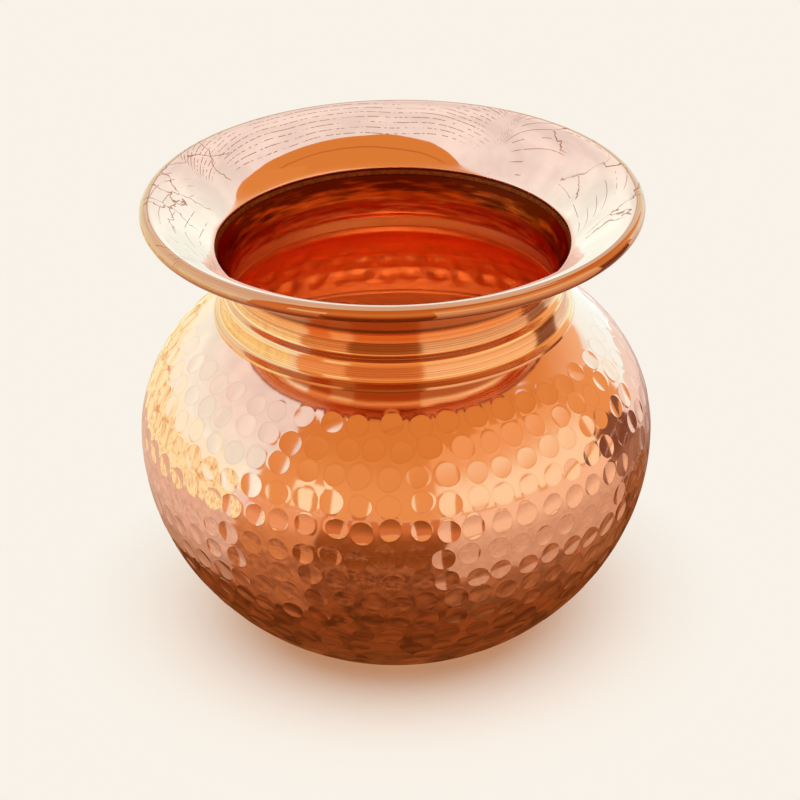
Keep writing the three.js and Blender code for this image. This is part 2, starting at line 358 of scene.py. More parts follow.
end.repeat_items.new("GEOMETRY", "Marks")
end.repeat_items.new("FLOAT", "Turn")
tree.links.new(given["Rows"], begin.inputs["Iterations"])
tree.links.new(given["Top row"], begin.inputs["Turn"])
turn = begin.outputs["Turn"]
# each row lies one row spacing further down the belly's curve, whose halves differ in fullness
above = add_node(tree, math_node, {0: turn, 1: 0.0}, operation="GREATER_THAN")
halves = {0: above, 2: given["Bowl depth"], 3: given["Shoulder height"]}
height = add_node(tree, mix_node, halves, data_type="FLOAT")
halves = {0: above, 2: given["Bowl fullness"], 3: given["Shoulder fullness"]}
fullness = add_node(tree, mix_node, halves, data_type="FLOAT")
sine = add_node(tree, math_node, {0: turn}, operation="SINE")
cosine = add_node(tree, math_node, {0: turn}, operation="COSINE")
across = add_node(tree, math_node, {0: sine, 1: given["Belly radius"]}, operation="MULTIPLY")
upward = add_node(tree, math_node, {0: cosine, 1: height}, operation="MULTIPLY")
along = add_node(tree, "ShaderNodeCombineXYZ", {0: across, 1: upward})
pace = add_node(tree, vector_node, {0: along}, operation="LENGTH")
step = add_node(tree, math_node, {0: given["Row spacing"], 1: pace}, operation="DIVIDE")
next_turn = add_node(tree, math_node, {0: turn, 1: step}, operation="SUBTRACT")
# a row has as many marks as its girth holds at the pitch
row_radius = add_node(tree, math_node, {0: cosine, 1: given["Belly radius"]}, operation="MULTIPLY")
girth = add_node(tree, math_node, {0: row_radius, 1: 2 * math.pi}, operation="MULTIPLY")
fitting = add_node(tree, math_node, {0: girth, 1: given["Pitch"]}, operation="DIVIDE")
count = add_node(tree, math_node, {0: fitting}, operation="ROUND")
# each mark is shifted a little along its row and across it
seed_row = add_node(tree, math_node, {0: given["Seed"], 1: begin.outputs["Iteration"]}, operation="ADD")
number = add_node(tree, "GeometryNodeInputIndex")
shuffle = add_node(
    tree,
    "FunctionNodeRandomValue",
    {0: (-1.0, -1.0, 0.0), 1: (1.0, 1.0, 0.0), "ID": number, "Seed": seed_row},
    data_type="FLOAT_VECTOR",
)
shifts = add_node(tree, split_node, {0: shuffle}).outputs
sideways = add_node(tree, math_node, {0: shifts[0], 1: given["Jitter"]}, operation="MULTIPLY")
side_angle = add_node(tree, math_node, {0: sideways, 1: row_radius}, operation="DIVIDE")
lengthways = add_node(tree, math_node, {0: shifts[1], 1: given["Jitter"]}, operation="MULTIPLY")
length_angle = add_node(tree, math_node, {0: lengthways, 1: pace}, operation="DIVIDE")
mark_turn = add_node(tree, math_node, {0: turn, 1: length_angle}, operation="ADD")
# where that is on the belly's outside
power = add_node(tree, math_node, {0: 2.0, 1: fullness}, operation="DIVIDE")
mark_cosine = add_node(tree, math_node, {0: mark_turn}, operation="COSINE")
mark_sine = add_node(tree, math_node, {0: mark_turn}, operation="SINE")
mark_side = add_node(tree, math_node, {0: mark_sine}, operation="SIGN")
mark_sine = add_node(tree, math_node, {0: mark_sine}, operation="ABSOLUTE")
out_share = add_node(tree, math_node, {0: mark_cosine, 1: power}, operation="POWER")
up_share = add_node(tree, math_node, {0: mark_sine, 1: power}, operation="POWER")
mark_reach = add_node(tree, math_node, {0: out_share, 1: given["Belly radius"]}, operation="MULTIPLY")
mark_rise = add_node(tree, math_node, {0: up_share, 1: height}, operation="MULTIPLY")
mark_height = add_node(
    tree, math_node, {0: mark_rise, 1: mark_side, 2: given["Belly height"]}, operation="MULTIPLY_ADD"
)
# and where it is round the pot: each row starts half a pitch on from the one above it
phase = add_node(tree, math_node, {0: begin.outputs["Iteration"], 1: 0.5}, operation="MULTIPLY")
place_in_row = add_node(tree, math_node, {0: number, 1: phase}, operation="ADD")
turn_share = add_node(tree, math_node, {0: place_in_row, 1: count}, operation="DIVIDE")
azimuth = add_node(tree, math_node, {0: turn_share, 1: 2 * math.pi, 2: side_angle}, operation="MULTIPLY_ADD")
az_cosine = add_node(tree, math_node, {0: azimuth}, operation="COSINE")
az_sine = add_node(tree, math_node, {0: azimuth}, operation="SINE")
mark_x = add_node(tree, math_node, {0: az_cosine, 1: mark_reach}, operation="MULTIPLY")
mark_y = add_node(tree, math_node, {0: az_sine, 1: mark_reach}, operation="MULTIPLY")
mark_place = add_node(tree, "ShaderNodeCombineXYZ", {0: mark_x, 1: mark_y, 2: mark_height})
row = add_node(tree, "GeometryNodePoints", {"Count": count, "Position": mark_place})
# the row joins those before it
joined = add_node(tree, "GeometryNodeJoinGeometry")
tree.links.new(begin.outputs["Marks"], joined.inputs[0])
tree.links.new(row.outputs[0], joined.inputs[0])
tree.links.new(joined.outputs[0], end.inputs["Marks"])
tree.links.new(next_turn.outputs[0], end.inputs["Turn"])
# each point of a sheet belongs to its nearest mark, which no two blows made alike
marks = end.outputs["Marks"]
here = add_node(tree, "GeometryNodeInputPosition")
nearest = add_node(tree, "GeometryNodeSampleNearest", {"Geometry": marks, "Sample Position": here})
centre = add_node(
    tree,
    "GeometryNodeSampleIndex",
    {"Geometry": marks, "Value": here, "Index": nearest},
    data_type="FLOAT_VECTOR",
)
away = add_node(tree, vector_node, {0: here, 1: centre}, operation="DISTANCE")
blow = add_node(
    tree,
    "FunctionNodeRandomValue",
    {0: (0.9, 0.75, 0.0), 1: (1.04, 1.15, 0.0), "ID": nearest, "Seed": given["Seed"]},
    data_type="FLOAT_VECTOR",
)
blows = add_node(tree, split_node, {0: blow}).outputs
# it is pressed in by a shallow round cap with a wobbly rim, on a surface that waves a little
weight = add_node(tree, "GeometryNodeInputNamedAttribute", {"Name": "dent"}, data_type="FLOAT")
reach = add_node(tree, math_node, {0: blows[0], 1: given["Mark radius"]}, operation="MULTIPLY")
share = add_node(tree, math_node, {0: away, 1: reach}, operation="DIVIDE")
wobble = add_node(tree, noise_node, {"Vector": here, "Scale": WOBBLE_SCALE, "Detail": 1.0})
wobble = add_node(tree, range_node, {"Value": wobble, "To Min": 1 - WOBBLE, "To Max": 1 + WOBBLE})
share = add_node(tree, math_node, {0: share, 1: wobble}, operation="MULTIPLY")
squared = add_node(tree, math_node, {0: share, 1: 2.0}, operation="POWER")
cap = add_node(tree, math_node, {0: 1.0, 1: squared}, operation="SUBTRACT", use_clamp=True)
depth = add_node(tree, math_node, {0: blows[1], 1: given["Mark depth"]}, operation="MULTIPLY")
pressed = add_node(tree, math_node, {0: cap, 1: depth}, operation="MULTIPLY")
ripple = add_node(tree, noise_node, {"Vector": here, "Scale": 70.0, "Detail": 2.0})
sunk = add_node(tree, math_node, {0: ripple, 1: given["Waviness"], 2: pressed}, operation="MULTIPLY_ADD")
weighted = add_node(tree, math_node, {0: sunk, 1: weight}, operation="MULTIPLY")
outward = add_node(tree, "GeometryNodeInputNamedAttribute", {"Name": "plain"}, data_type="FLOAT_VECTOR")
shift = add_node(tree, vector_node, {0: outward, "Scale": weighted}, operation="SCALE")
# the finish gets the mark's place and size, and the sheet its shape and its two finishes
shown = add_node(tree, math_node, {0: weight}, operation="ABSOLUTE")
shown_depth = add_node(tree, math_node, {0: depth, 1: shown}, operation="MULTIPLY")
form = add_node(tree, "ShaderNodeCombineXYZ", {0: reach, 1: shown_depth})
sheet = given["Geometry"]
for name, value in (("mark_centre", centre), ("mark_form", form)):
    sheet = add_node(
        tree,
        "GeometryNodeStoreNamedAttribute",
        {"Geometry": sheet, "Name": name, "Value": value},
        data_type="FLOAT_VECTOR",
        domain="FACE",
    )
sheet = add_node(tree, "GeometryNodeSetPosition", {"Geometry": sheet, "Offset": shift})
sheet = add_node(tree, "GeometryNodeRealizeInstances", {"Geometry": sheet})
sheet = add_node(tree, "GeometryNodeSetMaterial", {"Geometry": sheet, "Material": planished})
inside = add_node(tree, "GeometryNodeInputNamedAttribute", {"Name": "inside"}, data_type="FLOAT")
mostly = add_node(
    tree, "FunctionNodeCompare", {0: inside, 1: 0.5}, data_type="FLOAT", operation="GREATER_THAN"
)
sheet = add_node(
    tree, "GeometryNodeSetMaterial", {"Geometry": sheet, "Selection": mostly, "Material": annealed}
)
add_node(tree, "NodeGroupOutput", {0: sheet})


def hammered(blank):
    """The blank with the hammering on it, as a plain mesh."""
    modifier = blank.modifiers.new("hammering", "NODES")
    modifier.node_group = hammering
    for identifier, value in sockets.items():
        modifier[identifier] = value
    graph = bpy.context.evaluated_depsgraph_get()
    mesh = bpy.data.meshes.new_from_object(blank.evaluated_get(graph))
    mesh.name = blank.name
    blank.modifiers.remove(modifier)
    blank.data = mesh


OUTSIDE, INSIDE = {"dent": -1.0, "inside": 0.0}, {"dent": 0.0, "inside": 1.0}
INSIDE_DENTED = {"dent": 1.4, "inside": 1.0}
heights = (BELLY_HEIGHT - SEAM_GAP) * (1 - np.cos(np.linspace(0, math.pi / 2, CURVE_POINTS)))
wall = evenly([(bowl_radius(z), z) for z in heights], FINE_STEP)
low, high = wall[wall[:, 0] < FINE_REACH], wall[wall[:, 0] >= FINE_REACH]
seat = [(0, 0), (SEAT_RADIUS * 0.5, 0), (SEAT_RADIUS - 0.6, 0)]
lip = [(shoulder_inside(z) - FIT, z) for z in np.linspace(BELLY_HEIGHT, LIP_TOP, 6)]
lip[0] = (lip[0][0], BELLY_HEIGHT - SEAM_GAP)
lip_inside = [
    (lip[-1][0] - LIP_EDGE, LIP_TOP),
    (BELLY_RADIUS - 2.0, 57.5),
    (BELLY_RADIUS - 2.07, 54.0),
    (BELLY_RADIUS - 2.0, 50.0),
    (BELLY_RADIUS - 1.85, 46.5),
]
lip_wall = evenly(rounded(lip_inside), LIP_STEP)
back = offset_left(wall, SHEET)[::-1]
back_high = back[(back[:, 1] < DENTED_TOP) & (back[:, 1] > DENTED_FOOT)]
back_low = back[back[:, 1] <= DENTED_FOOT]
lip_dents = {"dent": np.interp(lip_wall[:, 1], [57, 60], [1.7, 0.0]), "inside": 1.0}
bowl = turned(
    "bowl_hammered",
    [
        (seat, SIDES, {"dent": 0.0}),
        (low, SIDES, OUTSIDE),
        (high, FINE_SIDES, OUTSIDE),
        (lip, SIDES, INSIDE),
        (lip_wall, SIDES, lip_dents),
        (evenly(back_high, LIP_STEP), SIDES, INSIDE_DENTED),
        (evenly(back_low, INSIDE_STEP), INSIDE_SIDES, INSIDE),
        ([(0, SHEET)], INSIDE_SIDES, INSIDE),
    ],
    closed=False,
)
hammered(bowl)
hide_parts("base_bowl")
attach(bowl, "root")

# Shoulder shell: the upper half of the belly, planished and buffed like the bowl. Its hole is
# turned up into a short spigot that goes up inside the neck.
SPIGOT_RADIUS = 42.0
SPIGOT_TOP = 91.8
SPIGOT_BEND = 0.8
hole = SPIGOT_RADIUS + SPIGOT_BEND
inwards = np.sin(np.linspace(0, math.pi / 2, CURVE_POINTS)) ** 2
radii = BELLY_RADIUS + (hole - BELLY_RADIUS) * inwards
wall = evenly([(r, shoulder_top(r)) for r in radii], FINE_STEP)
bend_top = shoulder_top(hole) + SPIGOT_BEND
bend = [(SPIGOT_RADIUS + 0.2, bend_top - 0.3), (SPIGOT_RADIUS, bend_top + 0.3)]
spigot = bend + [(SPIGOT_RADIUS, SPIGOT_TOP)]
back = offset_left(list(wall) + spigot, SHEET)[::-1]
back[-1] = (BELLY_RADIUS - SHEET, BELLY_HEIGHT)
inner_wall = evenly(back, 1.0)
# the marks grow shallower towards the neck, and the last few millimetres are smooth
strength = -np.interp(wall[:, 1], [62, 72, 84, 87], [1.0, 0.55, 0.45, 0.1])
# inside, they show through above the joint and fade out in the same way
showing_through = np.interp(inner_wall[:, 1], [62.8, 63.8, 76, 84], [0, 2.2, 1.6, 0])
shoulder = turned(
    "shoulder_hammered",
    [
        (wall, FINE_SIDES, {"dent": strength}),
        (spigot, SIDES, INSIDE),
        (inner_wall, SIDES, {"dent": showing_through, "inside": 1.0}),
    ],
)
hammered(shoulder)
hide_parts("shoulder_shell")
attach(shoulder, "root")

# Belly braze: the filler metal that was run in along the bowl's lip, inside the shoulder, dressed
# smooth with the wall, so that only a faint line is left.
bottom = LIP_TOP + 0.01
fillet = [
    (shoulder_inside(bottom) - FIT, bottom),
    (shoulder_inside(bottom + 1.2) - FIT, bottom + 1.2),
    (shoulder_inside(bottom + 0.5) - 0.28, bottom + 0.4),
    (shoulder_inside(bottom) - 0.24, bottom),
]
belly_braze = turned("belly_braze_dressed", [(rounded(fillet, 1), SIDES, {})])
belly_braze.data.materials.append(annealed)
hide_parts("belly_braze")
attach(belly_braze, "root")

# Neck collar: spun from sheet over a former. Its foot sits on the shoulder, two steps are rolled
# in with a plain band between them, and above the waist it opens into a bell for the mouth.
FOOT_RADIUS = 45.2
BAND_BOTTOM, BAND_TOP = (43.5, 90.67), (42.9, 95.07)
WAIST_BOTTOM, WAIST_TOP = (41.1, 96.47), (41.1, 97.57)
FLARE_RISE, FLARE_CURL = 12.1, 1.5
THROAT_RADIUS, THROAT_HEIGHT = 44.0, 107.2
BEAD_RADIUS = 2.045
BEAD_CENTRE = (60.25, 117.25)
FLANGE = 0.9
FOOT_EDGE = 0.9
TURNED_SIDES = 480
TURNED_STEP = 0.14


def flare_point(share, depth):
    """A point of the mouth's sheet at a share of the way from throat to bead, at a depth in it."""
    run = BEAD_CENTRE[0] - THROAT_RADIUS
    r = THROAT_RADIUS + run * share
    z = THROAT_HEIGHT + FLARE_RISE * (1 - (1 - share) ** FLARE_CURL)
    slope = FLARE_RISE * FLARE_CURL * (1 - share) ** (FLARE_CURL - 1)
    size = math.hypot(run, slope)
    return (r + slope / size * depth, z - run / size * depth)


bell_depth = FLANGE + FIT + SHEET
bell_foot = flare_point(0, bell_depth)
waist = [WAIST_BOTTOM, WAIST_TOP, (41.15, 99.6), (42.2, 102.2)]
bell = [bell_foot, flare_point(0.1, bell_depth), flare_point(0.2, bell_depth)]
foot_height = shoulder_top(FOOT_RADIUS)
steps = [(FOOT_RADIUS, foot_height + FIT), (FOOT_RADIUS, foot_height + FOOT_EDGE), BAND_BOTTOM, BAND_TOP]
outer_corners = steps + waist + bell
inner_corners = offset_left(outer_corners[2:], SHEET)
outer = evenly([steps[0]] + [tuple(p) for p in rounded(outer_corners[1:], 3, 0.16)], TURNED_STEP)
foot = [(r, shoulder_top(r) + FIT) for r in np.linspace(BAND_BOTTOM[0] - 0.9, FOOT_RADIUS - 0.4, 4)]
turned_copper, tree, shader, place = new_finish("spun_copper_turned", "#fad1c1", roughness=0.12)
# painted shade in the corner under the mouth, between heights in metres
CORNER_SHADE_FOOT, CORNER_SHADE_TOP, DEEP_SHADE_FOOT, DEEP_SHADE_TOP = 0.1028, 0.1044, 0.1049, 0.1056
height = add_node(tree, split_node, {0: place}).outputs[2]
corner = add_node(
    tree,
    range_node,
    {"Value": height, "From Min": CORNER_SHADE_FOOT, "From Max": CORNER_SHADE_TOP},
    interpolation_type="SMOOTHSTEP",
)
level = add_node(tree, "ShaderNodeMapping", {"Vector": place, "Scale": (8.0, 8.0, 3200.0)})
lines = add_node(tree, noise_node, {"Vector": level, "Scale": 1.0, "Detail": 2.0})
streaks = add_node(tree, range_node, {"Value": lines, "From Min": 0.4, "From Max": 0.62})
turned_tint = add_node(
    tree, mix_node, {"Factor": streaks, 6: linear("#fdd0a6"), 7: linear("#eba878")}, data_type="RGBA"
)
shade_depth = add_node(tree, range_node, {"Value": height, "From Min": DEEP_SHADE_FOOT, "From Max": DEEP_SHADE_TOP})
corner_shade_tint = add_node(
    tree, mix_node, {"Factor": shade_depth, 6: linear("#5e2010"), 7: linear("#b4693f")}, data_type="RGBA"
)
corner_shaded = add_node(tree, mix_node, {"Factor": corner, 6: turned_tint, 7: corner_shade_tint}, data_type="RGBA")
tree.links.new(corner_shaded.outputs[2], shader.inputs["Base Color"])
cut = add_node(tree, bump_node, {"Height": lines, "Strength": 0.5, "Distance": 0.00006})
tree.links.new(cut.outputs[0], shader.inputs["Normal"])
neck = turned(
    "neck_spun",
    [
        (outer, TURNED_SIDES, {}),
        (evenly(rounded(inner_corners, 3, 0.2)[::-1], 0.5), TURNED_SIDES // 2, {}),
        (foot, TURNED_SIDES // 2, {}),
    ],
)
neck.data.materials.append(turned_copper)
neck.data.materials.append(annealed)
outer_count = len(outer) * TURNED_SIDES
for polygon in neck.data.polygons:
    polygon.material_index = int(max(polygon.vertices) >= outer_count)
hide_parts("neck_collar")
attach(neck, "root")

# Neck braze: the fillet of filler metal on the shoulder's spigot, inside the neck. It was run in
# from above and has the same satin oxide as the sheets round it.
bottom = SPIGOT_TOP + 0.05
band_lean = (BAND_BOTTOM[0] - BAND_TOP[0]) / (BAND_TOP[1] - BAND_BOTTOM[1])
band_wall = BAND_BOTTOM[0] - SHEET - band_lean * (bottom - BAND_BOTTOM[1]) - FIT
fillet = [
    (band_wall - 1.1, bottom),
    (band_wall, bottom),
    (band_wall - 0.36, bottom + 2.6),
    (band_wall - 0.7, bottom + 1.3),
    (band_wall - 1.1, bottom + 0.2),
]
neck_braze = turned("neck_braze_run", [(rounded(fillet, 1), SIDES, {})])
neck_braze.data.materials.append(annealed)
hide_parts("neck_braze")
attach(neck_braze, "root")

# Mouth flange: a trumpet of sheet, spun and polished to a mirror, cut off at the throat and
# rolled under round a wire at the rim, with a fine crease where the roll begins.
ROLL_TURN = 290
CUT_SHARE = 0.07


def from_axis(tree, place):
    """The distance of each place from the pot's axis."""
    level = add_node(tree, vector_node, {0: place, 1: (1.0, 1.0, 0.0)}, operation="MULTIPLY")
    return add_node(tree, vector_node, {0: level}, operation="LENGTH")


# Mirror-polished copper: pale and clear on the flare, with a painted reflection of fine lines in it, a
# roll painted darker with painted shade towards its foot, and a dull strip at the throat. It changes at
# these distances from the axis and heights, in metres
THROAT_EDGE, DULL_START, DULL_END, WORN_START, WORN_END = 0.0438, 0.0441, 0.0458, 0.0442, 0.0600
ROLL_START, FOLD, ROLL_END, ROLL_FOOT, ROLL_TOP = 0.0598, 0.0602, 0.0606, 0.1158, 0.1180
CRACK_REFLECTIONS_ASIDE, CRACK_REFLECTIONS_BEHIND, CRACK_REFLECTIONS_CLEAR = 0.041, -0.012, 0.004
mirror, tree, shader, place = new_finish("mirror_polished_copper", "#fbd6c8", roughness=0.03)
drift = add_node(tree, noise_node, {"Vector": place, "Scale": 42.0, "Detail": 1.0}).outputs["Color"]
drift = add_node(tree, vector_node, {0: drift, 1: (0.5, 0.5, 0.5)}, operation="SUBTRACT")
drifting = add_node(tree, vector_node, {0: drift, "Scale": 0.004}, operation="SCALE")
wandering = add_node(tree, vector_node, {0: place, 1: drifting}, operation="ADD")
flat = add_node(tree, vector_node, {0: wandering, 1: (1.0, 1.0, 0.0)}, operation="MULTIPLY")
out = add_node(tree, vector_node, {0: flat}, operation="LENGTH")
parts = add_node(tree, split_node, {0: flat}).outputs
bearing = add_node(tree, math_node, {0: parts[1], 1: parts[0]}, operation="ARCTAN2")
past_throat = add_node(tree, math_node, {0: out, 1: THROAT_EDGE}, operation="SUBTRACT")
# a painted reflection: nested arches of fine dotted lines spring from one point of the throat's edge to
# another: for each nest the middle and half width in degrees, the first arch and the spacing in metres, and
# the dots
painted_lines = 0.0
for middle, half, first, spacing, dots in (
    (106, 53, 0.0074, 0.0013, 900.0),
    (27, 30, 0.0032, 0.0030, 240.0),
    (186, 29, 0.0034, 0.0034, 240.0),
):
    turn = add_node(tree, math_node, {0: bearing, 1: math.radians(middle)}, operation="SUBTRACT")
    turn = add_node(tree, math_node, {0: turn, 1: math.pi, 2: -math.pi}, operation="WRAP")
    aside = add_node(tree, math_node, {0: turn, 1: math.radians(half)}, operation="DIVIDE")
    square = add_node(tree, math_node, {0: aside, 1: aside}, operation="MULTIPLY")
    left_over = add_node(tree, math_node, {0: 1.0, 1: square}, operation="SUBTRACT", use_clamp=True)
    left_over = add_node(tree, math_node, {0: left_over, 1: 0.001}, operation="MAXIMUM")
    rise = add_node(tree, math_node, {0: left_over, 1: 0.3}, operation="POWER")
    height = add_node(tree, math_node, {0: past_throat, 1: rise}, operation="DIVIDE")
    nest = add_node(tree, math_node, {0: height, 1: first}, operation="SUBTRACT")
    off = add_node(tree, math_node, {0: nest, 1: spacing / 2}, operation="PINGPONG")
    off = add_node(tree, math_node, {0: off, 1: rise}, operation="MULTIPLY")
    lean = add_node(tree, math_node, {0: past_throat, 1: aside}, operation="MULTIPLY")
    lean = add_node(tree, math_node, {0: lean, 1: left_over}, operation="DIVIDE")
    steepness = 0.6 / (math.radians(half) * 0.05)
    lean = add_node(tree, math_node, {0: lean, 1: steepness}, operation="MULTIPLY")
    lean = add_node(tree, math_node, {0: lean, 1: lean, 2: 1.0}, operation="MULTIPLY_ADD")
    lean = add_node(tree, math_node, {0: lean}, operation="SQRT")
    off = add_node(tree, math_node, {0: off, 1: lean}, operation="DIVIDE")
    line = add_node(
        tree,
        range_node,
        {"Value": off, "From Min": 0.00004, "From Max": 0.00011, "To Min": 1.0, "To Max": 0.0},
    )
    shown = add_node(tree, range_node, {"Value": left_over, "From Min": 0.03, "From Max": 0.2})
    above = add_node(tree, math_node, {0: nest, 1: -0.0002}, operation="GREATER_THAN")
    gaps = add_node(tree, noise_node, {"Vector": place, "Scale": dots, "Detail": 1.0})
    dashes = add_node(tree, range_node, {"Value": gaps, "From Min": 0.44, "From Max": 0.5})
    line_patches = add_node(tree, noise_node, {"Vector": place, "Scale": 75.0, "Detail": 1.0})
    line_patches = add_node(tree, range_node, {"Value": line_patches, "From Min": 0.40, "From Max": 0.48})
    for limit in (shown, above, dashes, line_patches):
        line = add_node(tree, math_node, {0: line, 1: limit}, operation="MULTIPLY")
    painted_lines = add_node(tree, math_node, {0: painted_lines, 1: line}, operation="MAXIMUM")
# and a painted reflection of a few crack-like lines at both sides, which wander and cross
jagged = add_node(tree, noise_node, {"Vector": place, "Scale": 130.0, "Detail": 3.0}).outputs["Color"]
jagged = add_node(tree, vector_node, {0: jagged, "Scale": 0.011}, operation="SCALE")
jagged = add_node(tree, vector_node, {0: flat, 1: jagged}, operation="ADD")
jagged = add_node(tree, vector_node, {0: jagged, 1: (1.0, 1.0, 0.0)}, operation="MULTIPLY")
cells = add_node(tree, "ShaderNodeTexVoronoi", {"Vector": jagged, "Scale": 62.0}, feature="DISTANCE_TO_EDGE")
crack_reflection = add_node(
    tree, range_node, {"Value": cells, "From Min": 0.005, "From Max": 0.012, "To Min": 1.0, "To Max": 0.0}
)
aside = add_node(tree, math_node, {0: parts[0]}, operation="ABSOLUTE")
aside = add_node(tree, math_node, {0: aside, 1: CRACK_REFLECTIONS_ASIDE}, operation="GREATER_THAN")
behind = add_node(tree, math_node, {0: parts[1], 1: CRACK_REFLECTIONS_BEHIND}, operation="GREATER_THAN")
clear = add_node(tree, math_node, {0: past_throat, 1: CRACK_REFLECTIONS_CLEAR}, operation="GREATER_THAN")
for limit in (aside, behind, clear):
    crack_reflection = add_node(tree, math_node, {0: crack_reflection, 1: limit}, operation="MULTIPLY")
region = add_node(tree, noise_node, {"Vector": place, "Scale": 60.0, "Detail": 0.0})
sparse = add_node(tree, range_node, {"Value": region, "From Min": 0.34, "From Max": 0.42})
crack_reflection = add_node(tree, math_node, {0: crack_reflection, 1: sparse}, operation="MULTIPLY")
painted_lines = add_node(tree, math_node, {0: painted_lines, 1: crack_reflection}, operation="MAXIMUM")
# the roll is painted darker, with painted shade towards its foot, and a thin line of painted shade lies in
# the fine crease where it begins
reach = from_axis(tree, place)
on_roll = add_node(tree, range_node, {"Value": reach, "From Min": ROLL_START, "From Max": ROLL_END})
crease = add_node(tree, math_node, {0: reach, 1: FOLD}, operation="SUBTRACT")
crease = add_node(tree, math_node, {0: crease}, operation="ABSOLUTE")
crease = add_node(
    tree,
    range_node,
    {"Value": crease, "From Min": 0.00006, "From Max": 0.00016, "To Min": 0.8, "To Max": 0.0},
)
painted_lines = add_node(tree, math_node, {0: painted_lines, 1: crease}, operation="MAXIMUM")
painted_lines = add_node(tree, math_node, {0: painted_lines, 1: 0.9}, operation="MULTIPLY")
height = add_node(tree, split_node, {0: place}).outputs[2]
up_roll = add_node(tree, range_node, {"Value": height, "From Min": ROLL_FOOT, "From Max": ROLL_TOP})
roll_shade = add_node(
    tree, mix_node, {"Factor": up_roll, 6: linear("#a86040"), 7: linear("#dca07a")}, data_type="RGBA"
)
clean = add_node(tree, mix_node, {"Factor": on_roll, 6: linear("#fbd6c8"), 7: roll_shade}, data_type="RGBA")
# the wheel can't reach down to the throat, so the mirror dulls there
dulled = add_node(
    tree,
    range_node,
    {"Value": reach, "From Min": DULL_START, "From Max": DULL_END, "To Min": 0.24, "To Max": 0.03},
    interpolation_type="SMOOTHSTEP",
)
tree.links.new(dulled.outputs[0], shader.inputs["Roughness"])
# at both sides of the throat, where hands grip it, the sheet is worn a little flatter
facing = add_node(tree, "ShaderNodeNewGeometry").outputs["Normal"]
worn_in = add_node(
    tree,
    range_node,
    {"Value": reach, "From Min": WORN_START, "From Max": WORN_END, "To Min": 1.0, "To Max": 0.0},
)
forward_part = add_node(tree, split_node, {0: place}).outputs[1]
at_sides = add_node(
    tree, range_node, {"Value": forward_part, "From Min": 0.008, "From Max": -0.034, "To Max": 2.0}
)
worn_in = add_node(tree, math_node, {0: worn_in, 1: at_sides}, operation="MULTIPLY")
lifted = add_node(tree, "ShaderNodeCombineXYZ", {2: worn_in})
eased = add_node(tree, vector_node, {0: facing, 1: lifted}, operation="ADD")
eased = add_node(tree, vector_node, {0: eased}, operation="NORMALIZE")
lined_colour = add_node(tree, mix_node, {"Factor": painted_lines, 6: clean, 7: linear("#a8562c")}, data_type="RGBA")
tree.links.new(lined_colour.outputs[2], shader.inputs["Base Color"])
swirl = add_node(tree, noise_node, {"Vector": place, "Scale": 60.0, "Detail": 2.0})
wave = add_node(tree, bump_node, {"Height": swirl, "Strength": 0.1, "Distance": 0.0004, "Normal": eased})
tree.links.new(wave.outputs[0], shader.inputs["Normal"])

# Buffed copper: the underside of the mouth, less finely polished, with painted shade in the corner by
# the neck
DARK_REACH, CLEAR_REACH = 0.0505, 0.0530
buffed, tree, shader, place = new_finish("buffed_copper_underside", "#ffe2bd", roughness=0.1)
reach = from_axis(tree, place)
corner = add_node(
    tree,
    range_node,
    {"Value": reach, "From Min": DARK_REACH, "From Max": CLEAR_REACH},
    interpolation_type="SMOOTHSTEP",
)
corner_shaded = add_node(
    tree, mix_node, {"Factor": corner, 6: linear("#b4693f"), 7: linear("#ffe2bd")}, data_type="RGBA"
)
tree.links.new(corner_shaded.outputs[2], shader.inputs["Base Color"])


def roll(radius, steps):
    """Points round the rolled edge at a radius from its wire's centre, from its tip to its top."""
    turns = np.radians(np.linspace(90 - ROLL_TURN, 90, steps))
    return [(BEAD_CENTRE[0] + radius * math.cos(a), BEAD_CENTRE[1] + radius * math.sin(a)) for a in turns]


shares = np.linspace(CUT_SHARE, 1, 61)[:-1][::-1]
cut_edge = rounded([flare_point(CUT_SHARE, 0), flare_point(0, 0), flare_point(0, FLANGE)], 3)[1:]
outer_roll = roll(BEAD_RADIUS, 44)
mirror_side = [flare_point(s, 0) for s in shares] + list(cut_edge)
flange = turned(
    "mouth_flange_rolled",
    [
        (outer_roll, FINE_SIDES, {}),
        (mirror_side, FINE_SIDES, {}),
        ([flare_point(s, FLANGE) for s in shares[::-3]], SIDES, {}),
        (roll(BEAD_RADIUS - FLANGE, 20)[::-1], SIDES, {}),
    ],
)
flange.data.materials.append(mirror)
flange.data.materials.append(buffed)
top_count = (len(outer_roll) + len(mirror_side)) * FINE_SIDES
for polygon in flange.data.polygons:
    polygon.material_index = int(max(polygon.vertices) >= top_count)
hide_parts("mouth_flange")
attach(flange, "root")

# Rim wire: the plain drawn wire that the edge of the mouth is rolled round; only a hair of it
# can be seen, in the gap of the roll.
drawn, tree, shader, place = new_finish("drawn_copper_wire", "#c87a50", roughness=0.35)
dust = add_node(tree, noise_node, {"Vector": place, "Scale": 400.0})
dulled = add_node(tree, range_node, {"Value": dust, "To Min": 0.25, "To Max": 0.5})
tree.links.new(dulled.outputs[0], shader.inputs["Roughness"])
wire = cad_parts["rim_wire"]
wire.data.materials.clear()
wire.data.materials.append(drawn)

